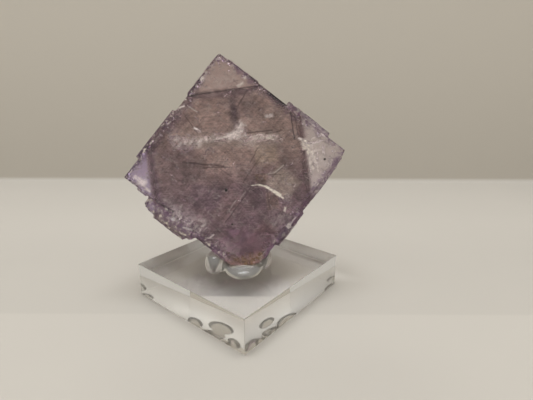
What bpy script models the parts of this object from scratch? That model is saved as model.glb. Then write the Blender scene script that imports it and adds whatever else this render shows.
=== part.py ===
"""A cube-face fluorite crystal standing on one corner, held by clear putty on a square acrylic base.

Fluorite grows in cubes and splits along octahedral planes, and the crystal is made the same way: the tabular
body and its ledges are a union of blocks that share the crystal's axes, and everything that broke away is cut
off by wedges and octahedra on the same axes. Its own axes are q, along the upper left edge, p, along the upper right
edge, and d, the depth behind the front face. They meet at the middle of the front face.

The row's origin is the middle of the base's underside, +Z is up, and the crystal's face looks along -Y.
"""

import math
import random

import bmesh
import bpy
from mathutils import Matrix, Vector

MM = 0.001

# The acrylic base, and how far it is turned about the vertical
BASE_SIDE = 50.8
BASE_HEIGHT = 12.0
BASE_BEVEL = 0.3
BASE_TURN = math.radians(50.9)

# How the crystal stands: its face leans back, one corner is a little high, and it faces a little to the side
FACE_CENTRE = (-1.2, 0.0, 47.3)
LEAN = math.radians(18.2)
ROLL = math.radians(7.3)
FACE_TURN = math.radians(0.9)

# The tabular body: where its side faces lie along q and p, and its thickness
BODY_Q = (-26.0, 26.6)
BODY_P = (-26.4, 26.8)
THICKNESS = 13.6

# The sides of the front face: the axis that the side runs along, and which way it faces on the other axis
SIDES = {
    "upper_left": ("q", -1),
    "lower_left": ("p", -1),
    "lower_right": ("q", 1),
    "upper_right": ("p", 1),
}

# The ledges that show: side, where it starts and ends along the side, how far out it reaches from the middle
# of the face, and between which depths it lies
LEDGES = (
    ("upper_left", -18.2, -9.8, 27.7, 0.7, 6.1),
    ("upper_left", -18.2, 2.1, 27.4, 0.5, 8.5),
    ("upper_left", -7.0, -3.4, 27.6, 1.3, 5.0),
    ("upper_left", 2.2, 9.4, 26.8, 1.9, 10.4),
    ("upper_left", 8.9, 25.7, 27.1, 0.6, 7.2),
    ("upper_left", 9.7, 11.1, 27.3, 1.1, 4.1),
    ("upper_left", 18.6, 20.7, 27.4, 0.9, 5.4),
    ("lower_left", -21.5, -17.4, 27.2, 3.2, 9.3),
    ("lower_left", -16.1, 4.3, 29.0, 1.2, 12.4),
    ("lower_left", -15.2, 3.5, 29.7, 1.6, 11.6),
    ("lower_left", -14.0, 2.1, 30.3, 2.0, 10.9),
    ("lower_left", -11.1, 1.8, 31.2, 2.4, 9.8),
    ("lower_left", -6.1, -1.7, 31.5, 3.4, 8.0),
    ("lower_left", 2.6, 21.6, 27.7, 0.4, 8.8),
    ("lower_left", 9.4, 17.2, 28.0, 3.6, 7.4),
    ("lower_right", -21.7, -17.9, 27.1, 0.3, 8.2),
    ("lower_right", -19.0, -12.2, 27.6, 0.8, 9.0),
    ("lower_right", -12.9, 1.3, 28.8, 0.6, 9.7),
    ("lower_right", -9.9, -2.9, 29.1, 1.7, 6.8),
    ("lower_right", 2.0, 20.7, 28.1, 1.0, 8.9),
    ("lower_right", 6.4, 14.9, 28.4, 1.8, 6.3),
    ("lower_right", 19.4, 23.8, 27.8, 1.5, 7.5),
    ("lower_right", 22.6, 25.3, 27.3, 0.7, 6.5),
    ("upper_right", -22.5, -10.5, 27.1, 0.5, 6.9),
    ("upper_right", 1.2, 3.2, 28.9, 3.4, 8.1),
    ("upper_right", 2.4, 19.3, 28.1, 0.9, 7.9),
    ("upper_right", 5.6, 14.4, 28.4, 1.4, 7.1),
    ("upper_right", 6.2, 9.0, 28.6, 2.1, 6.4),
)
LEDGE_ROOT = 5.0  # how far a ledge is rooted in the body

# Broad growth layers along every side, and low plates on the front
LAYERS_A_SIDE = 6
LAYER_HALF_LENGTH = (5.0, 14.0)
LAYER_THICKNESS = (1.6, 5.5)
LAYER_REACH = (0.12, 0.45)
LAYER_ROOT = 2.0
LAYER_MARGIN = 0.4
MARGIN_STEP = 0.13
FRONT_PLATES = 12
PLATE_RISE = (0.1, 0.4)
PLATE_HALF_SIDE = (3.0, 11.0)

# The terraces of the back, where the crystal grew against its neighbours: where each starts and ends along q
# and p, and how deep it reaches
BACK_TERRACES = (
    (-23.5, 12.5, -20.5, 13.0, 14.2),
    (-16.0, 22.5, -14.0, 22.8, 14.7),
    (-10.5, 19.5, -23.2, 5.5, 15.2),
    (-20.0, 3.5, -4.5, 17.5, 15.6),
    (-6.5, 9.0, -10.0, 8.5, 16.3),
    (5.0, 15.5, 2.0, 20.5, 16.0),
    (-14.5, -3.0, 4.0, 12.5, 16.7),
    (8.5, 13.0, -18.5, -6.0, 15.8),
)

# Three corners are thin behind, where a wedge of the crystal tore away: which way the corner lies on q and p,
# how far out from the middle the thick part ends, and how thick the corner is there and at its tip
TORN_CORNERS = {
    "left": (-1, -1, 29.3, 8.2, 5.6),
    "right": (1, 1, 24.6, 7.4, 4.2),
    "top": (1, -1, 26.0, 7.8, 4.4),
}
TORN_TIP = 38.0
TORN_DEPTH = 21.0
TORN_SLANT = 0.6  # how much further in the thick part's end lies at that depth
TORN_HALF_LENGTH = 34.0
# Steps in each torn corner: where each starts and ends along it, how much further out it starts, and how much
# thinner the corner is from there on
TORN_STEPS = (
    (-16.5, -5.2, 1.7, 0.7),
    (-3.6, 4.9, 3.9, 1.1),
    (2.7, 13.8, 1.1, 0.5),
    (-9.3, -0.4, 6.2, 1.6),
    (6.4, 9.9, 4.6, 1.4),
    (-12.4, -8.1, 4.3, 1.3),
)
# The fourth corner split along an octahedral plane, on which q, p and d add up to this distance
SPLIT_CORNER = (-1, 1)
SPLIT_PLANE = 48.4
SPLIT_SIZE = 70.0
# Steps in the split: how far along it, how deep below it, and the size of the piece that came away
SPLIT_STEPS = (
    (-21.0, 1.3, 10.0),
    (3.5, 2.3, 8.0),
)

# Where chips came off the edges and corners: the middle of the missing piece along q, p and d, and its size
CHIPS = (
    (33.4, 28.6, 3.0, 9.2),
    (31.0, -32.4, 1.0, 10.4),
    (-31.2, 26.6, -2.6, 8.8),
    (-34.4, 1.2, 13.6, 6.6),
    (-20.5, -34.5, 13.5, 10.0),
    (6.0, 36.5, 14.5, 11.5),
    (34.5, -4.0, 15.5, 10.5),
    (-4.5, -37.0, 15.0, 13.0),
    (-16.0, 34.0, 12.5, 7.5),
)

# The putty: lumps by their middle and half sizes, in the row's axes, and how finely they are kneaded together
PUTTY_LUMPS = (
    ((-7.9, -6.3, 14.3), (3.5, 5.2, 4.1)),
    ((1.9, -8.6, 13.2), (6.2, 6.7, 2.4)),
    ((8.3, -3.6, 14.6), (3.3, 5.2, 4.2)),
    ((0.2, 0.8, 15.0), (8.4, 5.2, 4.0)),
    ((-4.2, -5.9, 13.3), (4.4, 4.0, 2.6)),
    ((5.4, 8.0, 14.0), (6.5, 6.4, 3.9)),
    ((-6.3, 9.1, 14.0), (4.2, 5.3, 3.7)),
)
KNEADED = 0.85
KNEADING_ROUNDS = 5

# Clearances between the pieces
GAP = 0.3
SOCKET_GAP = 0.35


def finish_material(name, colour, roughness, ior, transmission):
    material = bpy.data.materials.new(name)
    material.use_nodes = True
    shader = material.node_tree.nodes["Principled BSDF"]
    shader.inputs["Base Color"].default_value = (*colour, 1.0)
    shader.inputs["Metallic"].default_value = 0.0
    shader.inputs["Roughness"].default_value = roughness
    shader.inputs["IOR"].default_value = ior
    shader.inputs["Transmission Weight"].default_value = transmission
    return material


def clear_scene():
    for obj in list(bpy.data.objects):
        bpy.data.objects.remove(obj)


def new_collection(name):
    made = bpy.data.collections.new(name)
    bpy.context.scene.collection.children.link(made)
    return made


def mesh_object(name, bm, collection, parent=None):
    """An object holding bm, whose coordinates are millimetres in the parent's axes."""
    bmesh.ops.scale(bm, vec=(MM, MM, MM), verts=bm.verts)
    bmesh.ops.recalc_face_normals(bm, faces=bm.faces)
    mesh = bpy.data.meshes.new(name)
    bm.to_mesh(mesh)
    bm.free()
    obj = bpy.data.objects.new(name, mesh)
    collection.objects.link(obj)
    obj.parent = parent
    return obj


def as_tool(obj):
    """A guide that a modifier reads and that isn't a piece of its own."""
    obj.hide_render = True
    obj.display_type = "WIRE"
    return obj


def crystal_axes():
    """The empty that carries the crystal's own axes: its X is q, its Y is p and its Z is d."""
    half = math.sqrt(0.5)
    axes = Matrix(((half, half, 0), (0, 0, 1), (half, -half, 0))).to_4x4()
    stand = Matrix.Rotation(FACE_TURN, 4, "Z") @ Matrix.Rotation(-LEAN, 4, "X") @ Matrix.Rotation(-ROLL, 4, "Y")
    empty = bpy.data.objects.new("crystal_axes", None)
    bpy.context.scene.collection.objects.link(empty)
    empty.matrix_world = Matrix.Translation(Vector(FACE_CENTRE) * MM) @ stand @ axes
    return empty


def block_mesh(q, p, d):
    """A block between the given pairs of q, p and d."""
    bm = bmesh.new()
    bmesh.ops.create_cube(bm, size=1.0)
    size = [high - low for low, high in (q, p, d)]
    middle = [(high + low) / 2 for low, high in (q, p, d)]
    bmesh.ops.scale(bm, vec=size, verts=bm.verts)
    bmesh.ops.translate(bm, vec=middle, verts=bm.verts)
    return bm


def octahedron_mesh(middle, size):
    """An octahedron whose corners lie on the crystal's axes, size away from its middle."""
    bm = bmesh.new()
    poles = [bm.verts.new((0, 0, side * size)) for side in (-1, 1)]
    belt = [bm.verts.new(corner) for corner in ((size, 0, 0), (0, size, 0), (-size, 0, 0), (0, -size, 0))]
    for pole in poles:
        for i in range(4):
            bm.faces.new((pole, belt[i], belt[(i + 1) % 4]))
    bmesh.ops.translate(bm, vec=middle, verts=bm.verts)
    return bm


def side_block(side, start, end, reach, front, back, root=LEDGE_ROOT):
    """A ledge on one side of the face, as a block."""
    along, facing = SIDES[side]
    outward = sorted((facing * reach, facing * (reach - root)))
    if along == "q":
        return block_mesh((start, end), outward, (front, back))
    return block_mesh(outward, (start, end), (front, back))


def body_reach(side):
    along, facing = SIDES[side]
    span = BODY_P if along == "q" else BODY_Q
    return abs(span[1] if facing > 0 else span[0])


def span_within(middle, half, limits, margin):
    """The stretch of the given half length about the middle, kept inside the limits by the margin."""
    return max(middle - half, limits[0] + margin), min(middle + half, limits[1] - margin)


def growth_blocks(collection, axes, rng):
    """Every block that grew on the body: the ledges, the side layers, the front plates and back terraces."""
    for i, ledge in enumerate(LEDGES):
        as_tool(mesh_object(f"ledge_{i}", side_block(*ledge), collection, axes))

    for side, (along, _) in SIDES.items():
        limits = BODY_Q if along == "q" else BODY_P
        for i in range(LAYERS_A_SIDE):
            # Each margin differs a little, so that no two faces lie in one plane
            margin = LAYER_MARGIN + i * MARGIN_STEP
            start, end = span_within(rng.uniform(*limits), rng.uniform(*LAYER_HALF_LENGTH), limits, margin)
            front = rng.uniform(LAYER_MARGIN, THICKNESS - LAYER_THICKNESS[0])
            back = min(front + rng.uniform(*LAYER_THICKNESS), THICKNESS - margin)
            reach = body_reach(side) + rng.uniform(*LAYER_REACH)
            layer = side_block(side, start, end, reach, front, back, LAYER_ROOT)
            as_tool(mesh_object(f"layer_{side}_{i}", layer, collection, axes))

    for i in range(FRONT_PLATES):
        margin = LAYER_MARGIN + i * MARGIN_STEP
        span_q = span_within(rng.uniform(*BODY_Q), rng.uniform(*PLATE_HALF_SIDE), BODY_Q, margin)
        span_p = span_within(rng.uniform(*BODY_P), rng.uniform(*PLATE_HALF_SIDE), BODY_P, margin)
        plate = block_mesh(span_q, span_p, (-rng.uniform(*PLATE_RISE), LAYER_ROOT))
        as_tool(mesh_object(f"front_plate_{i}", plate, collection, axes))

    for i, (q_start, q_end, p_start, p_end, depth) in enumerate(BACK_TERRACES):
        terrace = block_mesh((q_start, q_end), (p_start, p_end), (THICKNESS - LEDGE_ROOT, depth))
        as_tool(mesh_object(f"terrace_{i}", terrace, collection, axes))


def torn_wedge(facing_q, facing_p, start, thickness, tip_thickness, ends):
    """What tore away behind a corner: from start outwards along the corner's diagonal, behind the corner."""
    thinning = (thickness - tip_thickness) / (TORN_TIP - start)
    outer = TORN_TIP + LEDGE_ROOT
    section = (
        (start, thickness),
        (outer, thickness - thinning * (outer - start)),
        (outer, TORN_DEPTH),
        (start - TORN_SLANT, TORN_DEPTH),
    )
    half = math.sqrt(0.5)
    bm = bmesh.new()
    rings = [[bm.verts.new((facing_q * half * (out + along), facing_p * half * (out - along), depth))
              for out, depth in section] for along in ends]
    for i in range(len(section)):
        following = (i + 1) % len(section)
        bm.faces.new((rings[0][i], rings[0][following], rings[1][following], rings[1][i]))
    bm.faces.new(rings[0])
    bm.faces.new(rings[1])
    return bm


def split_octahedron(plane, size, along=0.0):
    """An octahedron whose inner face lies on the split corner's plane, moved along that plane's front line."""
    facing_q, facing_p = SPLIT_CORNER
    share = (plane + size) / 3
    middle = Vector((facing_q * share, facing_p * share, share))
    middle += Vector((facing_q, -facing_p, 0)).normalized() * along
    return octahedron_mesh(middle, size)


def breaks(collection, axes):
    """Everything that tore, split or chipped away, on the crystal's axes."""
    for corner, (facing_q, facing_p, start, thickness, tip_thickness) in TORN_CORNERS.items():
        ends = (-TORN_HALF_LENGTH, TORN_HALF_LENGTH)
        main = torn_wedge(facing_q, facing_p, start, thickness, tip_thickness, ends)
        as_tool(mesh_object(f"torn_{corner}", main, collection, axes))
        for i, (low, high, further, thinner) in enumerate(TORN_STEPS):
            step = torn_wedge(facing_q, facing_p, start + further, thickness - thinner,
                              tip_thickness - thinner, (low, high))
            as_tool(mesh_object(f"torn_step_{corner}_{i}", step, collection, axes))

    as_tool(mesh_object("split_bottom", split_octahedron(SPLIT_PLANE, SPLIT_SIZE), collection, axes))
    for i, (along, deeper, size) in enumerate(SPLIT_STEPS):
        step = split_octahedron(SPLIT_PLANE - deeper, size, along)
        as_tool(mesh_object(f"step_bottom_{i}", step, collection, axes))

    for i, (q, p, d, size) in enumerate(CHIPS):
        as_tool(mesh_object(f"chip_{i}", octahedron_mesh((q, p, d), size), collection, axes))


def boolean(obj, name, operation, operand):
    modifier = obj.modifiers.new(name, "BOOLEAN")
    modifier.operation = operation
    modifier.solver = "EXACT"
    if isinstance(operand, bpy.types.Collection):
        modifier.operand_type = "COLLECTION"
        modifier.collection = operand
    else:
        modifier.object = operand


def make_crystal(axes):
    rng = random.Random(11)
    grown = new_collection("growth")
    broken = new_collection("breaks")
    growth_blocks(grown, axes, rng)
    breaks(broken, axes)
    body = block_mesh(BODY_Q, BODY_P, (0.0, THICKNESS))
    crystal = mesh_object("fluorite_crystal", body, bpy.context.scene.collection, axes)
    boolean(crystal, "grown", "UNION", grown)
    boolean(crystal, "broken", "DIFFERENCE", broken)
    crystal.data.materials.append(finish_material("fluorite", (0.58, 0.46, 0.55), 0.08, 1.434, 0.9))
    return crystal


def make_base():
    bm = bmesh.new()
    bmesh.ops.create_cube(bm, size=1.0)
    bmesh.ops.scale(bm, vec=(BASE_SIDE, BASE_SIDE, BASE_HEIGHT), verts=bm.verts)
    bmesh.ops.translate(bm, vec=(0, 0, BASE_HEIGHT / 2), verts=bm.verts)
    base = mesh_object("acrylic_base", bm, bpy.context.scene.collection)
    base.rotation_euler.z = BASE_TURN
    bevel = base.modifiers.new("polished_edges", "BEVEL")
    bevel.width = BASE_BEVEL * MM
    bevel.segments = 2
    base.data.materials.append(finish_material("clear_acrylic", (0.97, 0.98, 0.97), 0.02, 1.49, 1.0))
    return base


def socket_mesh():
    """The space that the crystal's lowest corner takes in the putty, a little larger than the corner."""
    reach_q = max(ledge[3] for ledge in LEDGES if ledge[0] == "lower_left" and ledge[2] > 10)
    reach_p = max(ledge[3] for ledge in LEDGES if ledge[0] == "lower_right")
    low_q, high_p = -reach_q - SOCKET_GAP, reach_p + SOCKET_GAP
    bm = block_mesh((low_q, 20), (-20, high_p), (-max(PLATE_RISE) - SOCKET_GAP, THICKNESS + LEDGE_ROOT))
    normal = Vector((*SPLIT_CORNER, 1)).normalized()
    point = normal * (SPLIT_PLANE / math.sqrt(3) + SOCKET_GAP)
    geometry = [*bm.verts, *bm.edges, *bm.faces]
    cut = bmesh.ops.bisect_plane(bm, geom=geometry, plane_co=point, plane_no=normal, clear_outer=True)
    rim = [item for item in cut["geom_cut"] if isinstance(item, bmesh.types.BMEdge)]
    bmesh.ops.contextual_create(bm, geom=rim)
    return bm


def ellipsoid_mesh(middle, half_sizes):
    bm = bmesh.new()
    bmesh.ops.create_icosphere(bm, subdivisions=3, radius=1.0)
    bmesh.ops.scale(bm, vec=half_sizes, verts=bm.verts)
    bmesh.ops.translate(bm, vec=middle, verts=bm.verts)
    return bm


def make_putty(axes):
    """Lumps of clear putty pressed into one, cut flat on the base and hollowed where the crystal sits."""
    lumps = new_collection("lumps")
    for i, (middle, half_sizes) in enumerate(PUTTY_LUMPS[1:]):
        as_tool(mesh_object(f"lump_{i}", ellipsoid_mesh(middle, half_sizes), lumps))
    putty = mesh_object("putty", ellipsoid_mesh(*PUTTY_LUMPS[0]), bpy.context.scene.collection)
    boolean(putty, "pressed_together", "UNION", lumps)

    knead = putty.modifiers.new("kneaded", "REMESH")
    knead.mode = "VOXEL"
    knead.voxel_size = KNEADED * MM
    knead.use_smooth_shade = True
    smooth = putty.modifiers.new("softened", "SMOOTH")
    smooth.factor = 0.5
    smooth.iterations = KNEADING_ROUNDS

    socket = as_tool(mesh_object("crystal_socket", socket_mesh(), bpy.context.scene.collection, axes))
    boolean(putty, "crystal_seat", "DIFFERENCE", socket)
    below = bmesh.new()
    bmesh.ops.create_cube(below, size=2 * BASE_SIDE)
    bmesh.ops.translate(below, vec=(0, 0, BASE_HEIGHT + GAP - BASE_SIDE), verts=below.verts)
    floor = as_tool(mesh_object("base_top_cut", below, bpy.context.scene.collection))
    boolean(putty, "flat_foot", "DIFFERENCE", floor)
    putty.data.materials.append(finish_material("clear_putty", (0.95, 0.95, 0.93), 0.15, 1.45, 0.85))
    return putty


clear_scene()
crystal_frame = crystal_axes()
make_crystal(crystal_frame)
make_putty(crystal_frame)
make_base()
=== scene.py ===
import math
import random

import bmesh
import bpy
from mathutils import Matrix, Vector, noise
from mathutils.bvhtree import BVHTree


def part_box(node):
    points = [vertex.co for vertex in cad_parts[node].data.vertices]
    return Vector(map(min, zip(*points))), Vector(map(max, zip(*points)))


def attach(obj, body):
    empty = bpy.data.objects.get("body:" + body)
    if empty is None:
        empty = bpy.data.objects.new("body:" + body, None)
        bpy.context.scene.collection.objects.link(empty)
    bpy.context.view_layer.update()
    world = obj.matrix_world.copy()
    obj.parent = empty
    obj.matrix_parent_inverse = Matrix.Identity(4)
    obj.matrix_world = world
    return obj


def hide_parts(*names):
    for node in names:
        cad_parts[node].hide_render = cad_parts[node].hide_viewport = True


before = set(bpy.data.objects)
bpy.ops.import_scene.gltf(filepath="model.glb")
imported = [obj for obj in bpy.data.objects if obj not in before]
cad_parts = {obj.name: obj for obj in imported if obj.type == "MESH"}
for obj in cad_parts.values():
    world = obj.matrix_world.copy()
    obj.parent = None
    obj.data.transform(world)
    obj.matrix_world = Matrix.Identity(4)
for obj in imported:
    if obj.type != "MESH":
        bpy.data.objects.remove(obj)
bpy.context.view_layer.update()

# The camera. It stands a little above the specimen, close in front of it, and looks down at it through a
# short lens. The view is the whole object in the middle of the frame, with the crystal's face square on.
CAMERA_PLACE = (0.009645, -0.124711, 0.075288)
CAMERA_DOWN = math.radians(18.042)
CAMERA_ROLL = math.radians(-0.172)
FOCAL_PIXELS = 381.57
FRAME_WIDTH_PIXELS = 533
SENSOR = 36.0

camera_data = bpy.data.cameras.new("camera")
camera_data.sensor_width = SENSOR
camera_data.lens = FOCAL_PIXELS / FRAME_WIDTH_PIXELS * SENSOR
camera_data.clip_start = 0.001
camera = bpy.data.objects.new("camera", camera_data)
bpy.context.scene.collection.objects.link(camera)
tilt = Matrix.Rotation(math.pi / 2 - CAMERA_DOWN, 4, "X")
camera.matrix_world = Matrix.Translation(CAMERA_PLACE) @ tilt @ Matrix.Rotation(-CAMERA_ROLL, 4, "Z")
bpy.context.scene.camera = camera
bpy.context.scene.view_settings.view_transform = "Standard"
cycles = bpy.context.scene.cycles
cycles.max_bounces = 24
cycles.transmission_bounces = 20
cycles.transparent_max_bounces = 24
cycles.caustics_refractive = True
cycles.blur_glossy = 0.5
cycles.sample_clamp_indirect = 6.0
cycles.use_denoising = True

# The room: a pale table that sweeps up into a plain wall a hand's breadth behind the specimen, under a wide
# soft lamp. Both are matt paint with a faint mottle; the wall's paint is darker low down, a painted shade. The
# table has painted shade in one soft band, towards the wall and in front. Under the clear base lies painted light
# and shade, for the light that the base gathers and the crystal's shadow, and painted light lies beside its back.
WALL_DISTANCE = 0.153
SWEEP_RADIUS = 0.003
SWEEP_STEPS = 8
ROOM_HALF_WIDTH = 1.6
WALL_HEIGHT = 0.9
TABLE_NEAR = -1.6
TABLE_LEVEL = -0.0002
TABLE_PAINT = ((0.575, 0.547, 0.500), (0.605, 0.575, 0.527))
# The wall's paint low and high, and the heights over which they blend: a painted shade, darker near the table
WALL_PAINT_SHADED_BELOW = ((0.575, 0.541, 0.484), (0.645, 0.607, 0.543))
WALL_SHADE_SPAN = (0.0, 0.125)
WALL_START = (0.0003, 0.003)
# Each painted shade's strength, and where along the table it begins and where it is whole
BAND_SHADE = 0.055
BAND_FRONT = (-0.0165, -0.0150)
BAND_BACK = (0.075, 0.020)
FAR_SHADE = 0.05
FAR_SPAN = (0.02, 0.15)
NEAR_SHADE = 0.05
NEAR_SPAN = (-0.020, -0.045)
NEAR_MIDDLE = 0.014
NEAR_SIDES = (0.062, 0.020)
# The painted light and shade under the base and the painted light beside it, out from the base's middle and from
# left to right
BASE_TURN = math.radians(50.9)
UNDER_EDGE = (0.0254, 0.0225)
UNDER_LEFT_SPAN = (-0.024, -0.002)
UNDER_RIGHT_SPAN = (0.000, 0.024)
UNDER_LIGHT_LEFT = (0.66, 0.63, 0.59)
UNDER_SHADE_MIDDLE = (0.45, 0.43, 0.405)
UNDER_LIGHT_RIGHT = (0.89, 0.86, 0.81)
UNDER_LIGHT_FRONT = (0.76, 0.73, 0.68)
# Painted light in a strip on the table beside the base's back sides, where the light that the base gathers falls
BESIDE_INNER = (0.0250, 0.0256)
BESIDE_OUTER = (0.037, 0.027)
BESIDE_BACK = (0.004, 0.014)
BESIDE_SPAN = (-0.006, 0.006)
BESIDE_LIGHT_LEFT = (0.70, 0.685, 0.655)
BESIDE_LIGHT_RIGHT = (0.93, 0.91, 0.86)


def new_object(name, mesh):
    obj = bpy.data.objects.new(name, mesh)
    bpy.context.scene.collection.objects.link(obj)
    return obj


def made_mesh(bm, name):
    """The mesh of a bmesh, which is freed."""
    mesh = bpy.data.meshes.new(name)
    bm.to_mesh(mesh)
    bm.free()
    return mesh


def node_tree(name):
    """A new material, with its tree and its Principled BSDF."""
    material = bpy.data.materials.new(name)
    material.use_nodes = True
    tree = material.node_tree
    return material, tree, tree.nodes["Principled BSDF"]


def feed(tree, node, **values):
    """Numbers, colours or other nodes' outputs go into a node's inputs, named with underscores for spaces."""
    for key, value in values.items():
        socket = node.inputs[key.replace("_", " ")]
        if isinstance(value, bpy.types.NodeSocket):
            tree.links.new(value, socket)
        else:
            socket.default_value = value


def add_node(tree, kind, **values):
    """A new node: values name its properties or its inputs."""
    made = tree.nodes.new("ShaderNode" + kind)
    for key, value in values.items():
        if hasattr(made, key):
            setattr(made, key, value)
        else:
            feed(tree, made, **{key: value})
    return made


def math_node(tree, operation, a, b=0.0, clamp=False):
    """The output of a math node on two numbers or outputs."""
    made = add_node(tree, "Math", operation=operation, use_clamp=clamp)
    for socket, value in zip(made.inputs, (a, b)):
        if isinstance(value, bpy.types.NodeSocket):
            tree.links.new(value, socket)
        else:
            socket.default_value = value
    return made.outputs[0]


def product(tree, first, *others):
    for other in others:
        first = math_node(tree, "MULTIPLY", first, other)
    return first


def ramp(tree, value, low, high, to_low=0.0, to_high=1.0):
    """value brought smoothly from the range low..high to the range to_low..to_high."""
    made = add_node(tree, "MapRange", interpolation_type="SMOOTHSTEP", Value=value, From_Min=low,
                    From_Max=high, To_Min=to_low, To_Max=to_high)
    return made.outputs["Result"]


def mix_colour(tree, factor, a, b, blend="MIX"):
    """Two colours or outputs mixed by a number or an output."""
    made = add_node(tree, "Mix", data_type="RGBA", blend_type=blend)
    for name, value in (("Factor", factor), ("A", a), ("B", b)):
        socket = next(s for s in made.inputs if s.name == name and (s.type == "RGBA" or name == "Factor"))
        if isinstance(value, bpy.types.NodeSocket):
            tree.links.new(value, socket)
        else:
            socket.default_value = value if name == "Factor" else (*value, 1.0)
    return next(s for s in made.outputs if s.type == "RGBA")


def square_reach(tree, place):
    """How far a place is from the middle, by the larger of its X and its Y."""
    x, y, _ = add_node(tree, "SeparateXYZ", Vector=place).outputs
    return math_node(tree, "MAXIMUM", math_node(tree, "ABSOLUTE", x), math_node(tree, "ABSOLUTE", y))


def room_sweep():
    """One sheet: the table, the small sweep and the wall, facing the specimen."""
    bm = bmesh.new()
    outline = [(TABLE_NEAR, TABLE_LEVEL)]
    for i in range(SWEEP_STEPS + 1):
        turn = math.pi / 2 * i / SWEEP_STEPS
        outline.append((WALL_DISTANCE - SWEEP_RADIUS + SWEEP_RADIUS * math.sin(turn),
                        TABLE_LEVEL + SWEEP_RADIUS * (1 - math.cos(turn))))
    outline.append((WALL_DISTANCE, WALL_HEIGHT))
    rows = [[bm.verts.new((x, y, z)) for y, z in outline] for x in (-ROOM_HALF_WIDTH, ROOM_HALF_WIDTH)]
    for i in range(len(outline) - 1):
        face = bm.faces.new((rows[0][i], rows[1][i], rows[1][i + 1], rows[0][i + 1]))
        face.smooth = True
    return made_mesh(bm, "room_sweep")


def room_paint():
    """Matt paint, which is see-through from behind, so that the wall never hides the specimen. It carries painted
    shade and painted light on the table and a painted shade low on the wall.
    """
    material, tree, shader = node_tree("room_paint")
    geometry = add_node(tree, "NewGeometry")
    place = geometry.outputs["Position"]
    x, y, z = add_node(tree, "SeparateXYZ", Vector=place).outputs
    mottle = add_node(tree, "TexNoise", Vector=place, Scale=14.0, Detail=3.0)
    table = mix_colour(tree, mottle.outputs["Fac"], *TABLE_PAINT)
    front = ramp(tree, y, *BAND_FRONT)
    aside = math_node(tree, "ABSOLUTE", math_node(tree, "SUBTRACT", x, NEAR_MIDDLE))
    # Painted shade: a soft band across the table, a darkening towards the wall and one in front
    for shade in (product(tree, front, ramp(tree, y, *BAND_BACK), BAND_SHADE),
                  ramp(tree, y, *FAR_SPAN, 0.0, FAR_SHADE),
                  product(tree, ramp(tree, aside, *NEAR_SIDES), ramp(tree, y, *NEAR_SPAN), NEAR_SHADE)):
        table = mix_colour(tree, shade, table, (0.0, 0.0, 0.0))
    footprint = add_node(tree, "Mapping", Vector=place, Rotation=(0.0, 0.0, -BASE_TURN))
    reach = square_reach(tree, footprint.outputs["Vector"])
    # Painted light and shade on the table under the clear base: darkest in the middle, lighter to either side and
    # in front, most to the right
    light_and_shade_under_base = mix_colour(tree, ramp(tree, x, *UNDER_LEFT_SPAN), UNDER_LIGHT_LEFT, UNDER_SHADE_MIDDLE)
    light_and_shade_under_base = mix_colour(tree, ramp(tree, x, *UNDER_RIGHT_SPAN), light_and_shade_under_base, UNDER_LIGHT_RIGHT)
    light_and_shade_under_base = mix_colour(tree, front, UNDER_LIGHT_FRONT, light_and_shade_under_base)
    table = mix_colour(tree, ramp(tree, reach, *UNDER_EDGE), table, light_and_shade_under_base)
    # Painted light on the table beside the base's back sides
    light_beside_mask = product(tree, ramp(tree, reach, *BESIDE_INNER), ramp(tree, reach, *BESIDE_OUTER),
                     ramp(tree, y, *BESIDE_BACK))
    light_beside_base = mix_colour(tree, ramp(tree, x, *BESIDE_SPAN), BESIDE_LIGHT_LEFT, BESIDE_LIGHT_RIGHT)
    table = mix_colour(tree, light_beside_mask, table, light_beside_base)
    wall = mix_colour(tree, ramp(tree, z, *WALL_SHADE_SPAN), *WALL_PAINT_SHADED_BELOW)
    paint = mix_colour(tree, ramp(tree, z, *WALL_START), table, wall)
    feed(tree, shader, Base_Color=paint, Roughness=0.9, Specular_IOR_Level=0.1)
    either = add_node(tree, "MixShader", Fac=geometry.outputs["Backfacing"])
    tree.links.new(shader.outputs["BSDF"], either.inputs[1])
    tree.links.new(add_node(tree, "BsdfTransparent").outputs["BSDF"], either.inputs[2])
    tree.links.new(either.outputs["Shader"], tree.nodes["Material Output"].inputs["Surface"])
    return material


room = new_object("room", room_sweep())
room.data.materials.append(room_paint())

world = bpy.data.worlds.new("room_light")
bpy.context.scene.world = world
world.use_nodes = True
world.node_tree.nodes["Background"].inputs["Color"].default_value = (1.0, 0.95, 0.86, 1.0)
world.node_tree.nodes["Background"].inputs["Strength"].default_value = 0.56

lamp_data = bpy.data.lights.new("overhead_lamp", "AREA")
lamp_data.shape = "RECTANGLE"
lamp_data.size = 0.6
lamp_data.size_y = 0.3
lamp_data.energy = 4.5
lamp_data.color = (0.955, 0.975, 1.0)
lamp = bpy.data.objects.new("overhead_lamp", lamp_data)
bpy.context.scene.collection.objects.link(lamp)
lamp.location = (-0.012, 0.02, 0.8)
lamp.rotation_euler = (Vector(lamp.location) - Vector((0, 0, 0.03))).to_track_quat("Z", "Y").to_euler()

# The base: a square block of clear cast acrylic, sawn from half-inch sheet and polished on all six sides,
# its edges only just broken. It lies loose on the table and carries the putty.
EDGE_BREAK = 0.00007


def block(size, middle):
    """A box as a bmesh."""
    bm = bmesh.new()
    bmesh.ops.create_cube(bm, size=1.0)
    bmesh.ops.scale(bm, vec=size, verts=bm.verts)
    bmesh.ops.translate(bm, vec=middle, verts=bm.verts)
    return bm


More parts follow.
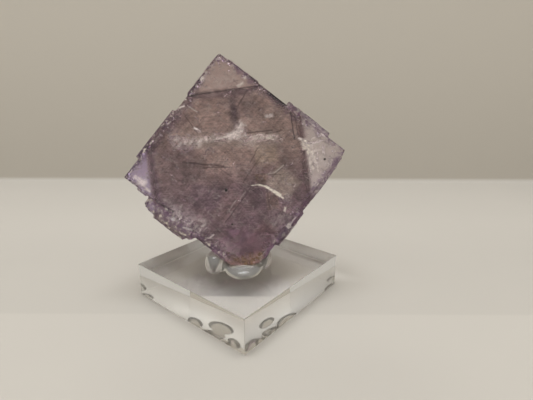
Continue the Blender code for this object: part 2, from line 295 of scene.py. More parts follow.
def polished_block(node):
    """The base's block again, from the node's own corners, with a much finer break along its edges."""
    low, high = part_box(node)
    corner = max(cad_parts[node].data.vertices, key=lambda v: -v.co.y).co
    turn = math.atan2(corner.x, -corner.y)
    side = math.sqrt(2) * math.hypot(corner.x, corner.y)
    bm = block((side, side, high.z - low.z), (0, 0, (high.z + low.z) / 2))
    bmesh.ops.rotate(bm, cent=(0, 0, 0), matrix=Matrix.Rotation(turn + math.pi / 4, 3, "Z"), verts=bm.verts)
    bmesh.ops.bevel(bm, geom=bm.edges[:], offset=EDGE_BREAK, segments=4, profile=0.5, affect="EDGES")
    return made_mesh(bm, "polished_base")


def fill_with(tree, tint, density):
    """The inside of a clear piece takes up light."""
    inside = add_node(tree, "VolumeAbsorption", Color=(*tint, 1.0), Density=density)
    tree.links.new(inside.outputs["Volume"], tree.nodes["Material Output"].inputs["Volume"])


def clear_acrylic():
    material, tree, shader = node_tree("clear_acrylic")
    place = add_node(tree, "TexCoord").outputs["Object"]
    smears = add_node(tree, "TexNoise", Vector=place, Scale=90.0, Detail=4.0, Roughness=0.6)
    feed(tree, shader, Base_Color=(1.0, 1.0, 1.0, 1.0), IOR=1.49, Transmission_Weight=1.0,
         Roughness=ramp(tree, smears.outputs["Fac"], 0.35, 0.75, 0.01, 0.04))
    fill_with(tree, (0.93, 0.90, 0.78), 2.0)
    return material


base = new_object("polished_base", polished_block("acrylic_base"))
base.data.materials.append(clear_acrylic())
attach(base, "root")
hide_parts("acrylic_base")

# The putty: clear mineral tack, rolled into small lumps that were pressed together under the crystal. It
# wets the acrylic, so the lumps' feet lie a hair below the base's polished top.
LUMPS = (
    ((-0.0079, -0.0063, 0.0143), (0.0035, 0.0052, 0.0041)),
    ((0.0019, -0.0086, 0.0132), (0.0062, 0.0067, 0.0024)),
    ((0.0083, -0.0036, 0.0146), (0.0033, 0.0052, 0.0042)),
    ((0.0002, 0.0008, 0.0150), (0.0084, 0.0052, 0.0040)),
    ((-0.0042, -0.0059, 0.0133), (0.0044, 0.0040, 0.0026)),
    ((0.0054, 0.0080, 0.0140), (0.0065, 0.0064, 0.0039)),
    ((-0.0063, 0.0091, 0.0140), (0.0042, 0.0053, 0.0037)),
)
PUTTY_FOOT = 0.01196
PUTTY_VOXEL = 0.00028
PUTTY_SMOOTHING = 6

# The crystal that stands in the putty has two sets of axes, in millimetres: the face's, which run across, up
# and out of it, and the crystal's own: q along the upper left edge, p along the upper right edge, d inwards
MM = 0.001
HALF = math.sqrt(0.5)
FACE_CENTRE = (-0.0012, 0.0, 0.0473)
LEAN = math.radians(18.2)
ROLL = math.radians(7.3)
FACE_TURN = math.radians(0.9)
face_axes = (Matrix.Translation(FACE_CENTRE) @ Matrix.Rotation(FACE_TURN, 4, "Z")
             @ Matrix.Rotation(-LEAN, 4, "X") @ Matrix.Rotation(-ROLL, 4, "Y")
             @ Matrix.Rotation(math.pi / 2, 4, "X") @ Matrix.Scale(MM, 4))
crystal_axes = face_axes @ Matrix(((HALF, HALF, 0), (HALF, -HALF, 0), (0, 0, -1))).to_4x4()

SOCKET_SPANS = ((-28.1, 20.0), (-20.0, 28.5), (-0.45, 19.0))
SOCKET_PLANE = 28.02


def even_mesh(obj, voxel):
    """obj is made again as one body with an even mesh."""
    even = obj.modifiers.new("even", "REMESH")
    even.mode = "VOXEL"
    even.voxel_size = voxel


def cut_flat(bm, place, normal, **side):
    """bm is cut by a plane, the inner or the outer side goes, and one face closes the cut."""
    geometry = [*bm.verts, *bm.edges, *bm.faces]
    cut = bmesh.ops.bisect_plane(bm, geom=geometry, plane_co=place, plane_no=normal, **side)
    rim = [item for item in cut["geom_cut"] if isinstance(item, bmesh.types.BMEdge)]
    bmesh.ops.contextual_create(bm, geom=rim)


def smooth_lumps(name, lumps):
    """Ellipsoids pressed into one smooth body, with the crystal's corner in it, and cut flat at the foot."""
    bm = bmesh.new()
    for middle, half_sizes in lumps:
        made = bmesh.ops.create_icosphere(bm, subdivisions=5, radius=1.0)["verts"]
        bmesh.ops.scale(bm, vec=half_sizes, verts=made)
        bmesh.ops.translate(bm, vec=middle, verts=made)
    obj = new_object(name, made_mesh(bm, name))
    even_mesh(obj, PUTTY_VOXEL)
    soften = obj.modifiers.new("soften", "SMOOTH")
    soften.iterations = PUTTY_SMOOTHING
    keep_evaluated(obj)
    socket = new_object("corner_socket", corner_socket())
    seat = obj.modifiers.new("seat", "BOOLEAN")
    seat.operation = "DIFFERENCE"
    seat.solver = "EXACT"
    seat.object = socket
    keep_evaluated(obj)
    bpy.data.objects.remove(socket)
    bm = bmesh.new()
    bm.from_mesh(obj.data)
    cut_flat(bm, (0, 0, PUTTY_FOOT), (0, 0, 1), clear_inner=True)
    for face in bm.faces:
        face.smooth = abs(face.normal.z + 1.0) > 1e-4
    bm.to_mesh(obj.data)
    bm.free()
    return obj


def corner_socket():
    """The room that the crystal's lowest corner takes in the putty: a block cut by an octahedral plane."""
    size = [high - low for low, high in SOCKET_SPANS]
    middle = [(high + low) / 2 for low, high in SOCKET_SPANS]
    bm = block(size, middle)
    normal = Vector((-1, 1, 1)).normalized()
    cut_flat(bm, normal * SOCKET_PLANE, normal, clear_outer=True)
    bmesh.ops.transform(bm, matrix=crystal_axes, verts=bm.verts)
    bmesh.ops.recalc_face_normals(bm, faces=bm.faces)
    return made_mesh(bm, "corner_socket")


def keep_evaluated(obj):
    """obj's modifiers are applied to its mesh."""
    depsgraph = bpy.context.evaluated_depsgraph_get()
    result = bpy.data.meshes.new_from_object(obj.evaluated_get(depsgraph))
    obj.modifiers.clear()
    obj.data = result


def relief(tree, height, strength, depth):
    """The normal of a shallow relief, depth in metres."""
    return add_node(tree, "Bump", Height=height, Strength=strength, Distance=depth).outputs["Normal"]


def clear_putty():
    material, tree, shader = node_tree("clear_putty")
    place = add_node(tree, "TexCoord").outputs["Object"]
    dimples = add_node(tree, "TexNoise", Vector=place, Scale=420.0, Detail=3.0).outputs["Fac"]
    feed(tree, shader, Base_Color=(1.0, 0.985, 0.95, 1.0), IOR=1.47, Transmission_Weight=0.80,
         Roughness=ramp(tree, dimples, 0.3, 0.8, 0.04, 0.12), Normal=relief(tree, dimples, 0.25, 0.0002),
         Sheen_Weight=1.0, Sheen_Roughness=0.25, Sheen_Tint=(1.0, 0.96, 0.88, 1.0))
    return material


putty = smooth_lumps("putty_lumps", LUMPS)
putty.data.materials.append(clear_putty())
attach(putty, "root")
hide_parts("putty")

# The crystal: a flat-grown cube of fluorite, see-through and brownish mauve. Its face is a growth face with
# fine steps. Its sides carry ledges, and its back and its corners are torn thin along octahedral planes.
CRYSTAL_VOXEL = 0.37
FACE_SPAN_Q = (-26.0, 26.6)
FACE_SPAN_P = (-26.4, 26.8)
FACE_MARGIN = 0.7
FACE_LEVEL = -0.1
FACE_SKIN = 0.6
FRONT_TILT = -0.75
BACK_TILT = 0.55
BACK_START = 3.0
BACK_WEAR = 36
SHARP_ANGLE = math.radians(38)
DIAGONAL = math.radians(45)


def square_cells(across, along, seed, size):
    """A level from 0 to 1 for each cell of a field of square cells."""
    at = Vector((across / size, along / size, seed))
    distances, points = noise.voronoi(at, distance_metric="CHEBYCHEV", exponent=1.0)
    return noise.cell(points[0] * 7.31 + Vector((seed, 0, 0)))


def face_depth(q, p):
    """Depth of the growth face at q, p: low square hillocks and finer vicinal steps."""
    slow = noise.noise(Vector((q * 0.09, p * 0.09, 1.7)))
    return FACE_LEVEL + 0.030 * square_cells(q, p, 3.0, 9.0) + 0.012 * square_cells(q, p, 8.0, 3.1) + 0.05 * slow


def torn_depth(q, p, d):
    """How far a torn or etched face is cut back at a place: blocky terraces with a fine tooth."""
    level = square_cells(q + 0.4 * d, p - 0.3 * d, 21.0, 4.2)
    fine_level = square_cells(q, p, 34.0, 1.5)
    ripple = noise.fractal(Vector((q, p, d)) * 0.8, 1.0, 2.0, 3)
    return max(0.0, 0.14 * abs(level) + 0.07 * abs(fine_level) + 0.10 * (ripple + 0.5))


def side_depth(q, p, d):
    """How far a side face is cut back: thin layers edge on, broken along their length."""
    along = (q + p) * 0.35
    layer = noise.cell(Vector((math.floor(along), 0.0, math.floor(d / 0.55)))) * 0.5 + 0.5
    tooth = noise.noise(Vector((q, p, d)) * 1.3) * 0.5 + 0.5
    return 0.17 * layer + 0.14 * tooth


def crystal_body(node):
    """The node's own solid as an even fine mesh with the relief of each kind of face."""
    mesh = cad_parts[node].data.copy()
    mesh.materials.clear()
    mesh.transform(crystal_axes.inverted())
    bm = bmesh.new()
    bm.from_mesh(mesh)
    bmesh.ops.remove_doubles(bm, verts=bm.verts, dist=0.001)
    bmesh.ops.recalc_face_normals(bm, faces=bm.faces)
    bm.to_mesh(mesh)
    bm.free()
    obj = new_object("fluorite", mesh)
    even_mesh(obj, CRYSTAL_VOXEL)
    keep_evaluated(obj)
    mesh = obj.data

    # The back is worn softer than the sides and the face
    bm = bmesh.new()
    bm.from_mesh(mesh)
    back = [v for v in bm.verts if v.co.z > BACK_START
            and min(v.co.x - FACE_SPAN_Q[0], FACE_SPAN_Q[1] - v.co.x,
                    v.co.y - FACE_SPAN_P[0], FACE_SPAN_P[1] - v.co.y) > FACE_MARGIN]
    for _ in range(BACK_WEAR):
        bmesh.ops.smooth_vert(bm, verts=back, factor=0.5, use_axis_x=True, use_axis_y=True, use_axis_z=True)
    bm.to_mesh(mesh)
    bm.free()

    normals = [vertex.normal.copy() for vertex in mesh.vertices]
    for vertex, normal in zip(mesh.vertices, normals):
        q, p, d = vertex.co
        inset = min(q - FACE_SPAN_Q[0], FACE_SPAN_Q[1] - q, p - FACE_SPAN_P[0], FACE_SPAN_P[1] - p)
        if d < FACE_SKIN and (normal.z < FRONT_TILT or inset > FACE_MARGIN):
            vertex.co.z = face_depth(q, p)
        elif normal.z > BACK_TILT:
            vertex.co.z -= torn_depth(q, p, d) * normal.z
        elif normal.z < FRONT_TILT:
            vertex.co.z += 0.04 * (1.0 + noise.noise(Vector((q, p, d)) * 0.7))
        else:
            vertex.co -= normal * side_depth(q, p, d)
    mesh.transform(crystal_axes)
    for face in mesh.polygons:
        face.use_smooth = True
    mesh.set_sharp_from_angle(angle=SHARP_ANGLE)
    return obj


def face_place(tree):
    """Places in the face's axes: across, up and out, in millimetres."""
    inverse = face_axes.inverted()
    turn = add_node(tree, "Mapping", Vector=add_node(tree, "TexCoord").outputs["Object"],
                    Location=inverse.to_translation(), Rotation=inverse.to_quaternion().to_euler(),
                    Scale=inverse.to_scale())
    return turn.outputs["Vector"]


def node_group(name, outputs, **inputs):
    """A shader node group that takes a Place and other numbers or vectors, and puts out numbers."""
    group = bpy.data.node_groups.new(name, "ShaderNodeTree")
    for key, value in {"Place": (0, 0, 0), **inputs}.items():
        kind = "NodeSocketVector" if isinstance(value, tuple) else "NodeSocketFloat"
        socket = group.interface.new_socket(key.replace("_", " "), in_out="INPUT", socket_type=kind)
        socket.default_value = value
    for key in outputs:
        group.interface.new_socket(key, in_out="OUTPUT", socket_type="NodeSocketFloat")
    return group, group.nodes.new("NodeGroupInput").outputs, group.nodes.new("NodeGroupOutput").inputs


def use_group(tree, group, place, **values):
    """A group node in a tree, fed by values: its outputs."""
    made = tree.nodes.new("ShaderNodeGroup")
    made.node_tree = group
    feed(tree, made, Place=place, **values)
    return made.outputs


def vector_node(tree, operation, a, b=None):
    """The output of a vector math node on one or two vectors or outputs."""
    made = add_node(tree, "VectorMath", operation=operation)
    for socket, value in zip(made.inputs, (a, b)):
        if isinstance(value, bpy.types.NodeSocket):
            tree.links.new(value, socket)
        elif value is not None:
            socket.default_value = value
    return made.outputs["Vector"]


def turned_place(tree, place, angle, **centre):
    """A place turned about the way out of the face."""
    made = add_node(tree, "VectorRotate", rotation_type="Z_AXIS", Vector=place, Angle=angle, **centre)
    return made.outputs["Vector"]


def wander(tree, place, amount, **texture):
    """A shift that varies slowly from place to place, up to half of amount each way."""
    slow = add_node(tree, "TexNoise", Vector=place, **texture)
    shift = vector_node(tree, "SCALE", vector_node(tree, "SUBTRACT", slow.outputs["Color"], (0.5, 0.5, 0.5)))
    feed(tree, shift.node, Scale=amount)
    return shift


def make_patch_group():
    """A mask for a box turned about the way out of the face, with ragged soft sides."""
    tree, given, out = node_group("patch", ("Mask",), Middle=(0, 0, 0), Half_Size=(1, 1, 1), Turn=0.0,
                                  Softness=0.5, Ragged=0.5)
    shift = wander(tree, given["Place"], given["Ragged"], Scale=0.28, Detail=4.0, Roughness=0.6)
    moved = vector_node(tree, "ADD", given["Place"], shift)
    turned = turned_place(tree, moved, given["Turn"], Center=given["Middle"])
    offset = vector_node(tree, "SUBTRACT", turned, given["Middle"])
    beyond = vector_node(tree, "SUBTRACT", vector_node(tree, "ABSOLUTE", offset), given["Half Size"])
    x, y, z = add_node(tree, "SeparateXYZ", Vector=beyond).outputs
    widest = math_node(tree, "MAXIMUM", math_node(tree, "MAXIMUM", x, y), z)
    inwards = math_node(tree, "MULTIPLY", given["Softness"], -1.0)
    tree.links.new(ramp(tree, widest, given["Softness"], inwards), out["Mask"])
    return tree


def make_streak_group():
    """Drawn-out mottle: long and thin along one direction on the face."""
    tree, given, out = node_group("streaks", ("Value",), Turn=0.0, Stretch=(0.1, 1.0, 0.3), Detail=4.0)
    turned = turned_place(tree, given["Place"], given["Turn"])
    drawn = vector_node(tree, "MULTIPLY", turned, given["Stretch"])
    mottle = add_node(tree, "TexNoise", Vector=drawn, Scale=1.0, Detail=given["Detail"], Roughness=0.6,
                      Distortion=0.6)
    tree.links.new(mottle.outputs["Fac"], out["Value"])
    return tree


def make_crack_group():
    """Thin broken lines between the cells of a drawn-out crackle."""
    tree, given, out = node_group("cracks", ("Mask",), Turn=0.0, Stretch=(0.1, 0.4, 0.2), Width=0.03)
    turned = turned_place(tree, given["Place"], given["Turn"])
    shift = wander(tree, given["Place"], 0.9, Scale=0.5, Detail=3.0)
    drawn = vector_node(tree, "MULTIPLY", vector_node(tree, "ADD", turned, shift), given["Stretch"])
    cells = add_node(tree, "TexVoronoi", feature="DISTANCE_TO_EDGE", Vector=drawn, Scale=1.0)
    line = add_node(tree, "MapRange", Value=cells.outputs["Distance"], From_Max=given["Width"], To_Min=1.0,
                    To_Max=0.0)
    gaps = add_node(tree, "TexNoise", Vector=given["Place"], Scale=0.33, Detail=2.0)
    kept = ramp(tree, gaps.outputs["Fac"], 0.46, 0.58)
    tree.links.new(product(tree, line.outputs["Result"], kept), out["Mask"])
    return tree


def make_rim_group():
    """Along the crystal's rim: how far out a place is, how far up to the left, and a level for each chip."""
    tree, given, out = node_group("rim", ("Outermost", "Leftward", "Chip"), Chip_Scale=1.3)
    turned = turned_place(tree, given["Place"], -DIAGONAL)
    x, y, _ = add_node(tree, "SeparateXYZ", Vector=turned).outputs
    chips = add_node(tree, "TexVoronoi", distance="CHEBYCHEV", Vector=turned, Scale=given["Chip Scale"],
                     Randomness=1.0)
    level = add_node(tree, "SeparateColor", Color=chips.outputs["Color"]).outputs["Green"]
    tree.links.new(square_reach(tree, turned), out["Outermost"])
    tree.links.new(math_node(tree, "SUBTRACT", y, x), out["Leftward"])
    tree.links.new(level, out["Chip"])
    return tree


patch_group = make_patch_group()
streak_group = make_streak_group()
crack_group = make_crack_group()
rim_group = make_rim_group()


def patch_mask(tree, place, middle, half_size, turn, softness, ragged):
    """One patch of the face: where and how large it is in the face's axes, and its turn, rising to the right."""
    return use_group(tree, patch_group, place, Middle=(*middle, 0.0), Half_Size=half_size, Turn=-turn,
                     Softness=softness, Ragged=ragged)["Mask"]


def streaks(tree, place, turn, stretch, detail):
    return use_group(tree, streak_group, place, Turn=turn, Stretch=stretch, Detail=detail)["Value"]


def cracks(tree, place, turn, stretch, width):
    return use_group(tree, crack_group, place, Turn=turn, Stretch=stretch, Width=width)["Mask"]


# The crystal's patches. In each table a row is the patch's middle, its half size across, up and deep, its
# turn, softness, raggedness and strength, and its tint. SHALLOW lies under the face, THROUGH goes right in.
SHALLOW = 3.0
THROUGH = 99.0
# The zones of colour: the brown core is the ground, and the purple sits low, along the edges and at the tips
BROWN_TINT = (0.64, 0.492, 0.482)
COLOUR_ZONES = (
    ((-2.0, -19.0), (30.0, 16.0, THROUGH), 0.0, 6.0, 6.0, 0.95, (0.302, 0.212, 0.262)),
    ((-20.0, 0.0), (8.5, 11.0, THROUGH), 0.0, 4.0, 5.0, 0.80, (0.32, 0.235, 0.27)),
    ((4.0, 22.0), (6.0, 4.0, THROUGH), -0.6, 2.0, 4.0, 0.35, (0.476, 0.371, 0.435)),
    ((-22.5, -15.5), (6.0, 4.4, THROUGH), -0.7, 2.0, 3.0, 0.75, (0.612, 0.521, 0.607)),
    ((-31.2, -2.6), (1.6, 2.4, THROUGH), 0.5, 1.2, 1.0, 0.85, (1.0, 0.97, 1.0)),
    ((2.0, 17.6), (1.3, 4.2, THROUGH), -0.05, 0.9, 2.4, 0.90, (0.11, 0.07, 0.105)),
    ((11.1, 2.2), (3.9, 3.0, THROUGH), 0.0, 0.3, 0.5, 0.90, (0.80, 0.66, 0.575)),
    ((8.5, -6.2), (2.1, 1.8, SHALLOW), 0.0, 0.3, 0.6, 0.85, (0.289, 0.198, 0.115)),
    ((15.8, -8.0), (4.8, 4.0, THROUGH), -DIAGONAL, 0.9, 1.5, 0.90, (0.75, 0.655, 0.615)),
    ((2.3, -2.9), (3.2, 3.4, SHALLOW), -0.5, 0.7, 1.4, 0.75, (0.76, 0.58, 0.61)),
    ((11.2, -13.8), (2.0, 3.0, SHALLOW), 0.0, 0.4, 0.8, 0.65, (0.527, 0.395, 0.295)),
    ((6.8, -12.6), (1.9, 3.8, SHALLOW), -0.1, 0.3, 0.8, 0.80, (0.221, 0.142, 0.197)),
    ((-11.0, -10.0), (5.2, 4.0, SHALLOW), -0.3, 0.6, 1.6, 0.70, (0.187, 0.13, 0.197)),
    ((-17.5, 16.0), (4.2, 2.6, SHALLOW), DIAGONAL, 0.7, 2.0, 0.55, (0.306, 0.221, 0.295)),
    ((10.0, 19.0), (3.0, 3.6, SHALLOW), -DIAGONAL, 0.7, 2.0, 0.40, (0.425, 0.316, 0.312)),
    ((-4.0, -14.0), (3.0, 5.4, SHALLOW), -DIAGONAL, 0.7, 1.6, 0.50, (0.408, 0.292, 0.279)),
    ((3.0, -22.0), (8.5, 3.6, SHALLOW), 0.0, 0.9, 2.0, 0.60, (0.204, 0.13, 0.193)),
    ((-26.2, -3.0), (0.9, 9.0, SHALLOW), 0.08, 0.8, 1.2, 0.60, (0.289, 0.19, 0.295)),
    ((23.6, -9.0), (1.2, 7.0, SHALLOW), -0.05, 0.8, 1.0, 0.50, (0.46, 0.34, 0.33)),
    ((0.0, 24.3), (11.0, 0.7, SHALLOW), -0.06, 0.6, 1.0, 0.50, (0.357, 0.261, 0.312)),
    ((0.0, 8.9), (16.0, 2.2, THROUGH), -0.12, 1.8, 2.5, 0.75, (0.97, 0.86, 0.84)),
    ((5.5, -26.5), (7.0, 3.6, THROUGH), 0.70, 1.4, 2.0, 0.85, (0.26, 0.165, 0.19)),
    ((2.4, 11.0), (2.4, 3.0, SHALLOW), -0.5, 1.0, 1.5, 0.80, (1.0, 0.93, 0.93)),
)
# The corners, torn thin and so nearly clear
THIN_CORNERS = (
    ((0.0, 33.5), (14.0, 8.2, THROUGH), 0.0, 0.5, 0.6, 0.80, (0.74, 0.60, 0.61)),
    ((34.0, 2.0), (9.6, 16.0, THROUGH), 0.0, 0.5, 0.8, 0.85, (0.95, 0.885, 0.93)),
    ((-36.0, -1.0), (7.4, 12.0, THROUGH), 0.0, 0.5, 0.6, 0.80, (0.71, 0.62, 0.95)),
)
# Dark lines just under the face, where cleavage cracks end
MARKS = (
    ((-10.2, 1.2), (7.0, 0.25, SHALLOW), -0.222, 0.15, 0.9, 0.91, (0.06, 0.04, 0.048)),
    ((-6.0, -0.4), (4.6, 0.21, SHALLOW), -0.10, 0.13, 0.9, 0.85, (0.06, 0.04, 0.048)),
    ((9.8, 9.6), (4.4, 0.29, SHALLOW), -0.02, 0.18, 0.9, 0.91, (0.052, 0.036, 0.04)),
    ((14.6, 8.8), (3.0, 0.25, SHALLOW), 0.10, 0.15, 0.9, 0.78, (0.052, 0.036, 0.04)),
    ((0.6, 24.6), (12.5, 0.23, SHALLOW), 0.03, 0.14, 0.9, 0.91, (0.056, 0.04, 0.048)),
    ((5.6, 21.4), (0.23, 3.2, SHALLOW), -0.62, 0.14, 0.9, 0.78, (0.06, 0.04, 0.052)),
    ((-12.4, 14.6), (0.23, 3.8, SHALLOW), 0.50, 0.14, 0.9, 0.72, (0.06, 0.04, 0.056)),
    ((7.0, 2.0), (0.23, 2.8, SHALLOW), -0.55, 0.15, 0.9, 0.78, (0.06, 0.04, 0.044)),
    ((21.0, 10.2), (0.26, 4.8, SHALLOW), 0.02, 0.17, 0.9, 0.95, (0.052, 0.036, 0.052)),
    ((22.3, 9.8), (0.23, 4.6, SHALLOW), 0.03, 0.14, 0.9, 0.78, (0.056, 0.04, 0.056)),
    ((0.0, -13.4), (0.23, 8.0, SHALLOW), -0.76, 0.14, 0.9, 0.85, (0.056, 0.036, 0.052)),
    ((5.8, -2.4), (0.23, 5.6, SHALLOW), -0.72, 0.14, 0.9, 0.65, (0.06, 0.04, 0.052)),
    ((-7.6, -6.6), (2.4, 0.23, SHALLOW), 0.75, 0.14, 0.9, 0.72, (0.06, 0.04, 0.056)),
    ((-3.0, -2.6), (2.2, 0.23, SHALLOW), -0.70, 0.14, 0.9, 0.65, (0.06, 0.04, 0.052)),
    ((11.8, -5.0), (3.6, 0.21, SHALLOW), -0.16, 0.13, 0.9, 0.72, (0.064, 0.044, 0.044)),
    ((14.4, -4.2), (0.23, 3.0, SHALLOW), -0.95, 0.14, 0.9, 0.72, (0.064, 0.044, 0.044)),
    ((-24.6, -11.2), (3.4, 0.34, SHALLOW), -0.68, 0.2, 0.9, 0.95, (0.02, 0.012, 0.02)),
    ((-24.2, -15.4), (0.30, 2.2, SHALLOW), -0.66, 0.17, 0.9, 0.95, (0.02, 0.012, 0.024)),
    ((9.8, -12.6), (0.23, 4.2, SHALLOW), 0.04, 0.14, 0.9, 0.72, (0.06, 0.04, 0.048)),
    ((4.4, -26.4), (3.2, 0.23, SHALLOW), 0.50, 0.14, 0.9, 0.65, (0.06, 0.04, 0.052)),
)
# Dark glints along the outline, where a side face turns the light away
DARK_EDGES = (
    ((16.6, 19.9), (3.6, 0.9, 5.0), -0.80, 0.6, 1.4, 0.92, (0.035, 0.018, 0.045)),
    ((17.4, 19.8), (3.6, 0.60, 5.0), -0.78, 0.4, 1.4, 1.00, (0.008, 0.004, 0.01)),
    ((11.6, 25.6), (3.4, 0.34, 5.0), -0.80, 0.3, 1.4, 0.90, (0.03, 0.015, 0.04)),
    ((-10.4, 26.5), (4.6, 0.40, THROUGH), 0.80, 0.5, 1.4, 0.85, (0.07, 0.04, 0.10)),
    ((-21.6, 16.4), (4.6, 0.28, THROUGH), 0.80, 0.3, 1.4, 0.75, (0.14, 0.08, 0.15)),
    ((-27.4, 10.2), (3.6, 0.24, THROUGH), 0.80, 0.3, 1.4, 0.75, (0.14, 0.08, 0.15)),
    ((13.0, -26.2), (5.4, 0.60, THROUGH), 0.76, 0.6, 1.4, 0.90, (0.06, 0.03, 0.08)),
    ((-21.2, -21.4), (6.2, 0.45, THROUGH), -0.785, 0.4, 1.4, 0.85, (0.10, 0.05, 0.08)),
    ((-12.0, -26.4), (5.6, 0.35, THROUGH), -0.76, 0.4, 1.4, 0.80, (0.12, 0.07, 0.13)),
    ((-33.6, -2.4), (3.4, 0.26, THROUGH), -0.78, 0.3, 1.4, 0.60, (0.20, 0.12, 0.22)),
    ((23.2, -12.6), (0.5, 3.0, THROUGH), 0.10, 0.5, 1.4, 0.70, (0.16, 0.10, 0.12)),
)
RIM_TINT = (0.20, 0.11, 0.25)
RIM_LIGHT = (1.0, 0.95, 0.98)
OCHRE = (0.72, 0.53, 0.31)
# The growth mosaic's scale, and how dark and how light its blocks are
MOSAIC = ((0.15, 0.76, 1.20), (0.40, 0.82, 1.16))
# Drawn-out mottle along the growth directions and across the face: turn, stretch, the noise's range, tones
MOTTLES = (
    (0.03, (0.10, 0.75, 0.3), 0.42, 0.62, 1.12, 0.74),
    (DIAGONAL, (0.12, 0.9, 0.3), 0.44, 0.60, 0.88, 1.16),
    (-DIAGONAL, (0.13, 0.8, 0.35), 0.44, 0.60, 1.10, 0.80),
    (0.06, (0.32, 3.2, 0.6), 0.44, 0.58, 1.18, 0.74),
    (DIAGONAL + 0.08, (0.36, 3.0, 0.6), 0.44, 0.58, 0.80, 1.26),
    (-DIAGONAL + 0.1, (0.36, 2.8, 0.6), 0.44, 0.58, 1.18, 0.76),
)
# Crackle under the face, dark and then light: turn, stretch, width, strength, tint
CRACKLES = (
    (0.05, (0.10, 0.42, 0.2), 0.040, 0.75, (0.14, 0.09, 0.13)),
    (DIAGONAL, (0.14, 0.42, 0.2), 0.040, 0.65, (0.16, 0.10, 0.15)),
    (-DIAGONAL, (0.16, 0.40, 0.2), 0.040, 0.65, (0.16, 0.10, 0.15)),
    (0.6, (0.30, 0.55, 0.2), 0.026, 0.60, (0.98, 0.92, 0.92)),
    (-0.9, (0.26, 0.60, 0.2), 0.024, 0.55, (0.96, 0.88, 0.86)),
)


def lay_patches(tree, place, colour, table):
    """A table's patches laid over a colour, one after another."""
    for *patch, strength, tint in table:
        mask = patch_mask(tree, place, *patch)
        colour = mix_colour(tree, product(tree, mask, strength), colour, tint)
    return colour


def fluorite():
    material, tree, shader = node_tree("fluorite")
    place = face_place(tree)
    out = add_node(tree, "SeparateXYZ", Vector=place).outputs["Z"]
    near_face = ramp(tree, out, -4.5, -1.5)
    colour = lay_patches(tree, place, BROWN_TINT, COLOUR_ZONES)

    # The growth mosaic: blocks with straight sides, each a little lighter or darker
    shift = wander(tree, place, 2.0, Scale=0.35, Detail=3.0, Roughness=0.6)
    blocks_place = turned_place(tree, vector_node(tree, "ADD", place, shift), DIAGONAL + 0.1)
    for scale, dark, light in MOSAIC:
        blocks = add_node(tree, "TexVoronoi", distance="CHEBYCHEV", Vector=blocks_place, Scale=scale,
                          Randomness=0.9)
        level = add_node(tree, "SeparateColor", Color=blocks.outputs["Color"]).outputs["Red"]
        colour = mix_colour(tree, 1.0, colour, ramp(tree, level, 0.0, 1.0, dark, light), "MULTIPLY")
    for turn, stretch, low, high, at_low, at_high in MOTTLES:
        tone = ramp(tree, streaks(tree, place, turn, stretch, 6.0), low, high, at_low, at_high)
        colour = mix_colour(tree, 1.0, colour, tone, "MULTIPLY")
    colour = lay_patches(tree, place, colour, THIN_CORNERS)
    for turn, stretch, width, strength, tint in CRACKLES:
        lines = product(tree, cracks(tree, place, turn, stretch, width), near_face, strength)
        colour = mix_colour(tree, lines, colour, tint)
    colour = lay_patches(tree, place, colour, MARKS)

    # The rim: purple is gathered within a millimetre or two of the crystal's edges, between clear chips
    edge = use_group(tree, rim_group, place)
    blotch = add_node(tree, "TexNoise", Vector=place, Scale=0.45, Detail=4.0, Roughness=0.65)
    ragged = ramp(tree, blotch.outputs["Fac"], 0.3, 0.7, -1.7, 1.2)
    reach = math_node(tree, "ADD", edge["Outermost"], ragged)
    rim = product(tree, ramp(tree, reach, 25.2, 26.4), ramp(tree, reach, 28.6, 27.2, 0.35, 1.0))
    colour = mix_colour(tree, product(tree, rim, 0.85), colour, RIM_TINT)
    bright = product(tree, ramp(tree, edge["Chip"], 0.72, 0.80), rim, 0.9)
    colour = mix_colour(tree, bright, colour, RIM_LIGHT)
    colour = lay_patches(tree, place, colour, DARK_EDGES)

    # Rust has soaked into the lowest tip
    rust = add_node(tree, "TexNoise", Vector=place, Scale=0.9, Detail=4.0, Roughness=0.7)
    tip = patch_mask(tree, place, (-0.5, -33.6), (6.5, 2.6, THROUGH), 0.1, 0.9, 2.2)
    tip = product(tree, tip, ramp(tree, rust.outputs["Fac"], 0.32, 0.55), 0.85)
    colour = mix_colour(tree, tip, colour, OCHRE)

    # The face is polished by its growth, and the torn sides and the back are rougher
    grain = add_node(tree, "TexNoise", Vector=place, Scale=1.6, Detail=5.0, Roughness=0.65)
    feed(tree, shader, Base_Color=colour, Roughness=ramp(tree, out, -0.4, -1.2, 0.09, 0.5), IOR=1.434,
         Transmission_Weight=1.0, Normal=relief(tree, grain.outputs["Fac"], 0.6, 0.00022))
    fill_with(tree, (0.557, 0.358, 0.441), 26.0)
    return material


crystal = crystal_body("fluorite_crystal")
crystal.data.materials.append(fluorite())
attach(crystal, "root")
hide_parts("fluorite_crystal")

# The fractures: thin lens-shaped openings inside the crystal, leaning back from its face. Air and healed
# skins in them mirror and scatter the light, so that they show as pale veils, bands and small bright shards.
LEAN_BACK = 0.34


